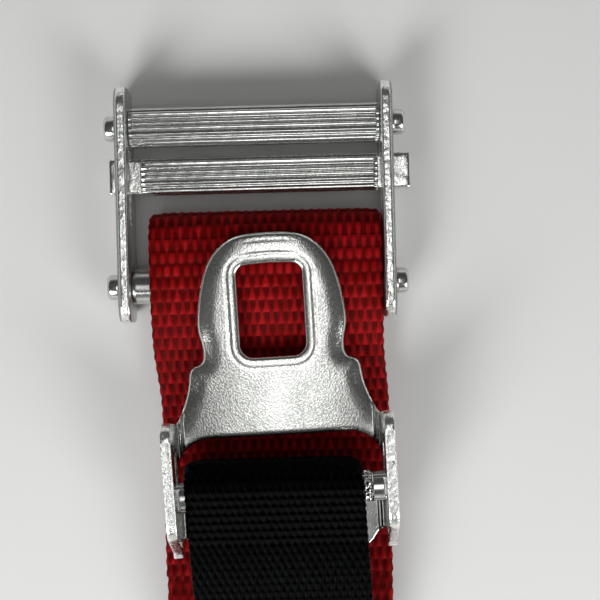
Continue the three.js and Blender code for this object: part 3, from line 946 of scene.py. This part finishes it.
def red_route():
    """The red strap's middle line from the side, from its front tail round both loops."""
    anchor_z = RED_LOW + LOOP_R
    return (
        [(TAIL_END, RED_SECOND), (-50, RED_SECOND), (-40, RED_SECOND)]
        + ramp(-33, RED_SECOND, 1.5, BAR_HEIGHT + LOOP_R, 10)
        + arc(LOOP_CENTRE, BAR_HEIGHT, LOOP_R, 90, -90, 16)
        + ramp(-4, BAR_HEIGHT - LOOP_R, -22, RED_LOW)
        + [(y, RED_LOW) for y in range(-40, -161, -20)]
        + arc(ANCHOR_LOOP_Y, anchor_z, LOOP_R, 270, 90, 16)
        + ramp(ANCHOR_LOOP_Y + 4, anchor_z + LOOP_R, ANCHOR_LOOP_Y + 30, RED_SECOND, 8)
        + [(-130, RED_SECOND), (-120, RED_SECOND), (ANCHOR_TAIL_END, RED_SECOND)])


def beside_tongue(points):
    """Points of the tongue's own frame, seen from the side in the table's frame."""
    origin = TONGUE_FRAME.translation
    c, s = math.cos(TONGUE_PITCH), math.sin(TONGUE_PITCH)
    return [(origin.y / MM - ADJUSTER_Y + y * c - z * s, origin.z / MM + y * s + z * c) for y, z in points]


def black_route():
    """The black strap's middle line from the side, from its sewn end to its folded tail."""
    fold_r = (TAB_LAYER - TAIL_REST) / 2
    return (
        [(SEWN_END, BLACK_ON_TWO), (-130, BLACK_ON_TWO), (LIFT_Y, BLACK_ON_TWO)]
        + ramp(-108, BLACK_ON_TWO, -101, BLACK_ON_RED, 4)
        + ramp(-74, BLACK_ON_RED, -67, BLACK_ON_TWO, 4) + [(-62.5, BLACK_ON_TWO)]
        + beside_tongue([(-4.6, -9.5)] + arc(*BLACK_FOLD_CENTRE, BLACK_FOLD_R, -64, 90, 14))
        + [(-52, 21), (-61, 19.7), (-71, 17.2), (-81, 13.7), (-90, 10.2), (-97, 7.9), (-102, TAIL_REST)]
        + arc(TAIL_TAB_END, TAIL_REST + fold_r, fold_r, 270, 90, 8)
        + [(TAIL_TAB_END + 4, TAB_LAYER), (TAIL_TAB_END + TAIL_TAB_LENGTH, TAB_LAYER)])


def red_middle(y):
    """The red strap's middle seen from above, from the loop bar's middle."""
    return RED_X + (RED_LOOP_X - RED_X) * smoothstep(SLEW_FROM, SLEW_TO, y)


def black_middle(y):
    """The black strap's middle seen from above, from the loop bar's middle."""
    span = TURN_Y - LIFT_Y
    t = np.clip((y - LIFT_Y) / span, 0, 1)
    curved = RED_X + (TURN_X - RED_X) * t * t * (3 - 2 * t) + TURN_SLOPE * span * t * t * (t - 1)
    return np.where(y > TURN_Y, TURN_X + TURN_SLOPE * (y - TURN_Y), curved)


def between(t, start, end, first, second):
    """Goes from first to second while t goes from start to end."""
    return (end - t) / (end - start) * first + (t - start) / (end - start) * second


def smooth_route(points):
    """A smooth curve through the points, as closely and evenly spaced points."""
    p = np.array([q for i, q in enumerate(points) if i == 0 or math.dist(q, points[i - 1]) > 1e-6])
    ends = np.vstack([2 * p[0] - p[1], p, 2 * p[-1] - p[-2]])
    dense = []
    for a, b, c, d in zip(ends[:-3], ends[1:-2], ends[2:-1], ends[3:]):
        tb = math.sqrt(math.dist(a, b))
        tc = tb + math.sqrt(math.dist(b, c))
        td = tc + math.sqrt(math.dist(c, d))
        count = max(2, int(math.dist(b, c) / ROUTE_STEP))
        t = np.linspace(tb, tc, count, endpoint=False)[:, None]
        middle = between(t, tb, tc, b, c)
        before = between(t, 0.0, tc, between(t, 0.0, tb, a, b), middle)
        after = between(t, tb, td, middle, between(t, tc, td, c, d))
        dense.append(between(t, tb, tc, before, after))
    return np.vstack(dense + [p[-1:]])


def weave(across, along, lean):
    """Height and shade, each 0 to 1, of plain-woven floats.

    across is in pairs of warp yarns and along in rows. Where lean is 1 each float starts blunt
    and wide, and narrows to where it dives under the next row; -1 is the other way round, and
    with 0 it is widest in the middle."""
    row = np.floor(along)
    v = along - row
    place = across + 0.5 * (row % 2)
    yarn = np.floor(place) * 7.0 + row * 3.0
    shade = (np.sin(yarn * 12.9898) * 43758.5453) % 1
    u = place % 1 - 0.5 + 0.16 * (shade - 0.5)
    ahead, behind, even = np.clip(lean, 0, 1), np.clip(-lean, 0, 1), 1 - np.abs(lean)
    width = 0.22 + 0.24 * (ahead * (1 - v) ** 1.7 + behind * v ** 1.7 + even * (1 - np.abs(2 * v - 1)))
    rise = (ahead * smoothstep(-0.02, 0.13, v) * (1 - 0.5 * v ** 1.6)
            + behind * smoothstep(1.02, 0.87, v) * (1 - 0.5 * (1 - v) ** 1.6)
            + even * np.sqrt(np.sin(np.pi * v)))
    crest = rise * np.sqrt(np.clip(1 - (u / width) ** 2, 0, 1))
    dive = ahead * v + behind * (1 - v) + even * 0.5
    under_v = np.clip(1 - dive * 1.15, 0, 1)
    under = 0.48 * under_v * np.sqrt(np.clip(1 - ((np.abs(u) - 0.5) / 0.26) ** 2, 0, 1))
    loose = 0.82 + 0.18 * (np.sin(yarn * 78.233) * 12543.531 % 1)
    return np.maximum(crest * loose, under), shade


ROUTE_STEP = 0.1
FINE_ROWS = (0.01, 0.12, 0.36, 0.66, 0.93)      # shares of a woven row at which points lie across it
COARSE_ROWS = (0.04, 0.3, 0.85)
FINE_COLUMNS = 151                              # points across the strap's upper and lower face
COARSE_COLUMNS = 76


class Strap:
    """A length of flat webbing along a route, with woven faces and rounded selvedges."""

    def __init__(self, route, width, thick, pair, row, depth, middle, lean, drawn_back):
        self.line = smooth_route(route)
        steps = np.hypot(*np.diff(self.line, axis=0).T)
        self.at = np.concatenate([[0], np.cumsum(steps)])
        self.length = self.at[-1]
        self.width, self.thick, self.depth = width, thick, depth
        self.pairs = round(width / pair)
        self.row = row
        self.middle = middle
        self.lean = lean
        self.drawn_back = drawn_back        # how far the corners of its front fold lie behind the middle
        self.front = self.line[:, 0].max()

    def sample(self, s):
        y = np.interp(s, self.at, self.line[:, 0])
        z = np.interp(s, self.at, self.line[:, 1])
        ahead = np.stack([np.interp(s + 0.4, self.at, self.line[:, i]) for i in (0, 1)])
        behind = np.stack([np.interp(s - 0.4, self.at, self.line[:, i]) for i in (0, 1)])
        along = ahead - behind
        along /= np.hypot(*along)
        return y, z, -along[1], along[0]

    def stations(self, fine_from, fine_to):
        """Where the cross rows of points lie: each woven row has the fine or the coarse set."""
        found = []
        for r in range(int(self.length / self.row) + 1):
            chosen = FINE_ROWS if fine_from <= r * self.row <= fine_to else COARSE_ROWS
            found += [(r + f) * self.row for f in chosen]
        found = [s for s in found if 0.05 < s < self.length - 0.05]
        return np.array([0.0, *found, self.length])

    def face(self, s, columns, side):
        """One face's points, weave heights, yarn shades and flat places, on a grid."""
        x = np.linspace(-0.5, 0.5, columns) * self.width
        across, along = np.meshgrid(x, s)
        pairs = (across / self.width + 0.5) * self.pairs + (0.25 if side < 0 else 0)
        y, z, ny, nz = self.sample(s)
        height, yarn = weave(pairs, along / self.row, self.lean(y)[:, None])
        rim = self.thick / 2
        inset = np.clip((np.abs(across) - (self.width / 2 - rim)) / rim, 0, 1)
        rounding = np.sqrt(1 - inset ** 2)
        ends = np.minimum(smoothstep(-0.01, 0.7, along), smoothstep(-0.01, 0.7, self.length - along))
        offset = (self.thick / 2 - self.depth * (1 - height * rounding)) * rounding * (0.55 + 0.45 * ends)
        corner = self.drawn_back * np.abs(2 * across / self.width) ** 12
        corner *= smoothstep(self.front - 6, self.front - 1, y)[:, None]
        bulge = 0.12 * np.sin(2 * np.pi * along / self.row) * inset * np.sign(across)
        points = np.stack([
            across + bulge + self.middle(y)[:, None],
            y[:, None] + side * offset * ny[:, None] - corner,
            z[:, None] + side * offset * nz[:, None]], axis=-1)
        # The height handed back for colour is lowered towards the cut ends, so the painted shade between the
        # yarns darkens there too.
        return points, height * (0.4 + 0.6 * ends), yarn, across, along

    def build(self, name, s, side=1):
        """side 1 puts the finer face on the route's left."""
        fine = self.face(s, FINE_COLUMNS, side)
        coarse = [grid[:, 1:-1] for grid in self.face(s, COARSE_COLUMNS, -side)]
        points = np.vstack([fine[0].reshape(-1, 3), coarse[0].reshape(-1, 3)])
        first = np.arange(fine[1].size).reshape(fine[1].shape)
        second = first.size + np.arange(coarse[1].size).reshape(coarse[1].shape)
        second = np.hstack([first[:, :1], second, first[:, -1:]])
        faces = []
        for grid, turn in ((first, 1), (second, -1)):
            quads = np.stack([grid[:-1, :-1], grid[:-1, 1:], grid[1:, 1:], grid[1:, :-1]], axis=-1)
            faces += quads.reshape(-1, 4)[:, ::turn].tolist()
        faces += self.cap(first[0], second[0]) + [f[::-1] for f in self.cap(first[-1], second[-1])]
        strap = outward(mesh_object(name, points, faces))
        raised, yarn, u, v = [np.concatenate([a.ravel(), b.ravel()]) for a, b in zip(fine[1:], coarse[1:])]
        # raised sets the painted shade between the yarns in the webbing's material.
        for label, values in (("raised", raised), ("yarn", yarn)):
            layer = strap.data.attributes.new(label, "FLOAT", "POINT")
            layer.data.foreach_set("value", values.astype(np.float32))
        corners = np.stack([u, v], -1)[read(strap.data.loops, "vertex_index")] * MM
        strap.data.uv_layers.new(name="weave").data.foreach_set("uv", corners.ravel().astype(np.float32))
        return strap

    @staticmethod
    def cap(a, b):
        """Closes a cut end between two rows of points that share their first and last."""
        faces, i, j = [], 0, 0
        while i < len(a) - 1 or j < len(b) - 1:
            if j == len(b) - 1 or (i < len(a) - 1 and (i + 1) / (len(a) - 1) <= (j + 1) / (len(b) - 1)):
                corner = [int(a[i]), int(b[j]), int(a[i + 1])]
                i += 1
            else:
                corner = [int(a[i]), int(b[j]), int(b[j + 1])]
                j += 1
            if len(set(corner)) == 3:
                faces.append(corner)
        return faces


def red_strap():
    def lean(y):
        return 1 - smoothstep(-1, 5, y) - smoothstep(5, 9, y)
    strap = Strap(red_route(), RED_WIDTH, RED_THICK, pair=2.05, row=2.75, depth=0.48,
                  middle=red_middle, lean=lean, drawn_back=0.5)
    made = strap.build("red_strap", strap.stations(fine_from=0, fine_to=100))
    dress(made, "red")
    install(made, FROM_LOOP_BAR, "webbing", "red_strap")


def black_strap():
    strap = Strap(black_route(), BLACK_WIDTH, BLACK_THICK, pair=1.6, row=1.7, depth=0.5,
                  middle=black_middle, lean=np.ones_like, drawn_back=1.4)
    made = strap.build("black_strap", strap.stations(fine_from=62, fine_to=125), side=-1)
    dress(made, "black")
    transform(made, FROM_LOOP_BAR)
    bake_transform(made)
    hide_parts("black_strap_loop", "black_strap_sewn_end")


# ---- stitching ----

def stitch(start, end, z):
    """One stitch: a short thread that rises out of the webbing and dives back into it."""
    along = (end - start) / np.hypot(*(end - start))
    beside = np.array([-along[1], along[0]])
    points = []
    steps = np.linspace(0, 1, 8)
    for k in steps:
        centre = start + (end - start) * k
        level = z - STITCH_DIP + (THREAD_R + STITCH_DIP) * np.sin(np.pi * k) ** 0.45
        for c, s in circle(0, 0, 1, STITCH_SIDES):
            points.append((*(centre + beside * THREAD_R * 1.15 * c), level + THREAD_R * s))
    faces = tube_faces(len(steps), STITCH_SIDES)
    faces.append(tuple(range(STITCH_SIDES)))
    faces.append(tuple(range(len(points) - STITCH_SIDES, len(points))))
    return points, faces


def seam_lines(x, box, crossed, rows):
    """The sewn lines of a box, with or without a cross, each sewn rows times side by side."""
    half, rear, front = box
    lines = []
    for k in range(rows):
        inset = k * SEAM_ROWS_APART
        x0, x1, y0, y1 = x - half + inset, x + half - inset, rear + inset, front - inset
        lines += [((x0, y0), (x1, y0)), ((x1, y0), (x1, y1)), ((x1, y1), (x0, y1)), ((x0, y1), (x0, y0))]
    if crossed:
        x0, x1 = x - half, x + half
        lines += [((x0, rear), (x1, front)), ((x0, front), (x1, rear))]
    return lines


def seam(name, lines, top, look, body):
    points, faces = [], []
    for start, end in lines:
        start, end = np.array(start), np.array(end)
        length = np.hypot(*(end - start))
        count = max(1, round(length / STITCH_PITCH))
        for i in range(count):
            a = start + (end - start) * (i * length / count + STITCH_GAP / 2) / length
            b = start + (end - start) * ((i + 1) * length / count - STITCH_GAP / 2) / length
            more, sides = stitch(a, b, top - SEAM_SINK)
            faces += [tuple(len(points) + c for c in f) for f in sides]
            points += more
    made = outward(mesh_object(name, points, faces))
    dress(made, look)
    install(made, FROM_LOOP_BAR, body, name)


def stitching():
    tail_x = float(black_middle(TAIL_TAB_END + TAIL_TAB_LENGTH / 2))
    seam("red_loop_stitching", seam_lines(RED_X, RED_SEAM, False, 2), RED_TOP, "red_thread", "webbing")
    seam("anchor_stitching", seam_lines(RED_X, ANCHOR_SEAM, True, 2),
         BLACK_ON_TWO + BLACK_THICK / 2, "black_thread", "webbing")
    seam("tail_stitching", seam_lines(tail_x, TAIL_SEAM, False, 1),
         TAB_LAYER + BLACK_THICK / 2, "black_thread", "tongue_strap")


# ---- anchor bracket ----

def bracket_outline():
    right = (arc(BRACKET_HALF - BRACKET_CORNER, CROSS_BAR_HALF - BRACKET_CORNER, BRACKET_CORNER, 90, 0, 6)
             + arc(BRACKET_HALF - BRACKET_SHOULDER_R, BRACKET_SHOULDER_Y, BRACKET_SHOULDER_R, 0, -32, 5)
             + arc(0, EYE_Y, EYE_R, -38, -90, 10))
    return right + mirrored(right[:-1])


def anchor_bracket():
    half = BRACKET_THICK / 2
    slot_rear = -CROSS_BAR_HALF - BRACKET_SLOT_LENGTH
    slot = rounded_box(-BRACKET_SLOT_HALF, slot_rear, BRACKET_SLOT_HALF, -CROSS_BAR_HALF, 2, 6)
    hole = circle(0, EYE_Y, BOLT_HOLE_R, 36)
    outline = bracket_outline()
    cutters = [prism(cut, -half - 2, half + 2, "xy") for cut in (slot, hole)]
    plate = fused("anchor_bracket", [prism(outline, -half, half, "xy")], cutters, 0.36)
    relax(plate, 3)
    dress(plate, "plate", "sheared")
    shear_edges(plate, [outline, slot, hole], -half, half, [0, 1, 2], 0.5, 0.08, 21)
    install(plate, BRACKET_FRAME, "anchor", "anchor_bracket")


# ---- the scene ----

make_camera()
make_floor()
make_lights()
for plate_side, plate_name in ((-1, "adjuster_plate_left"), (1, "adjuster_plate_right")):
    adjuster_plate(plate_name, plate_side)
riveted_bar("fixed_fluted_bar", FIXED_BAR_R, fluting(FIXED_BAR_R, PLATE_INNER + 0.35, 0.0),
            60, FLUTED_AROUND, FIXED_BAR_Y, "adjuster_frame")
riveted_bar("loop_bar", LOOP_BAR_R, plain_round, 24, 64, 0.0, "loop_bar")
lock_bar()
tongue()
slide_bar()
red_strap()
black_strap()
stitching()
anchor_bracket()
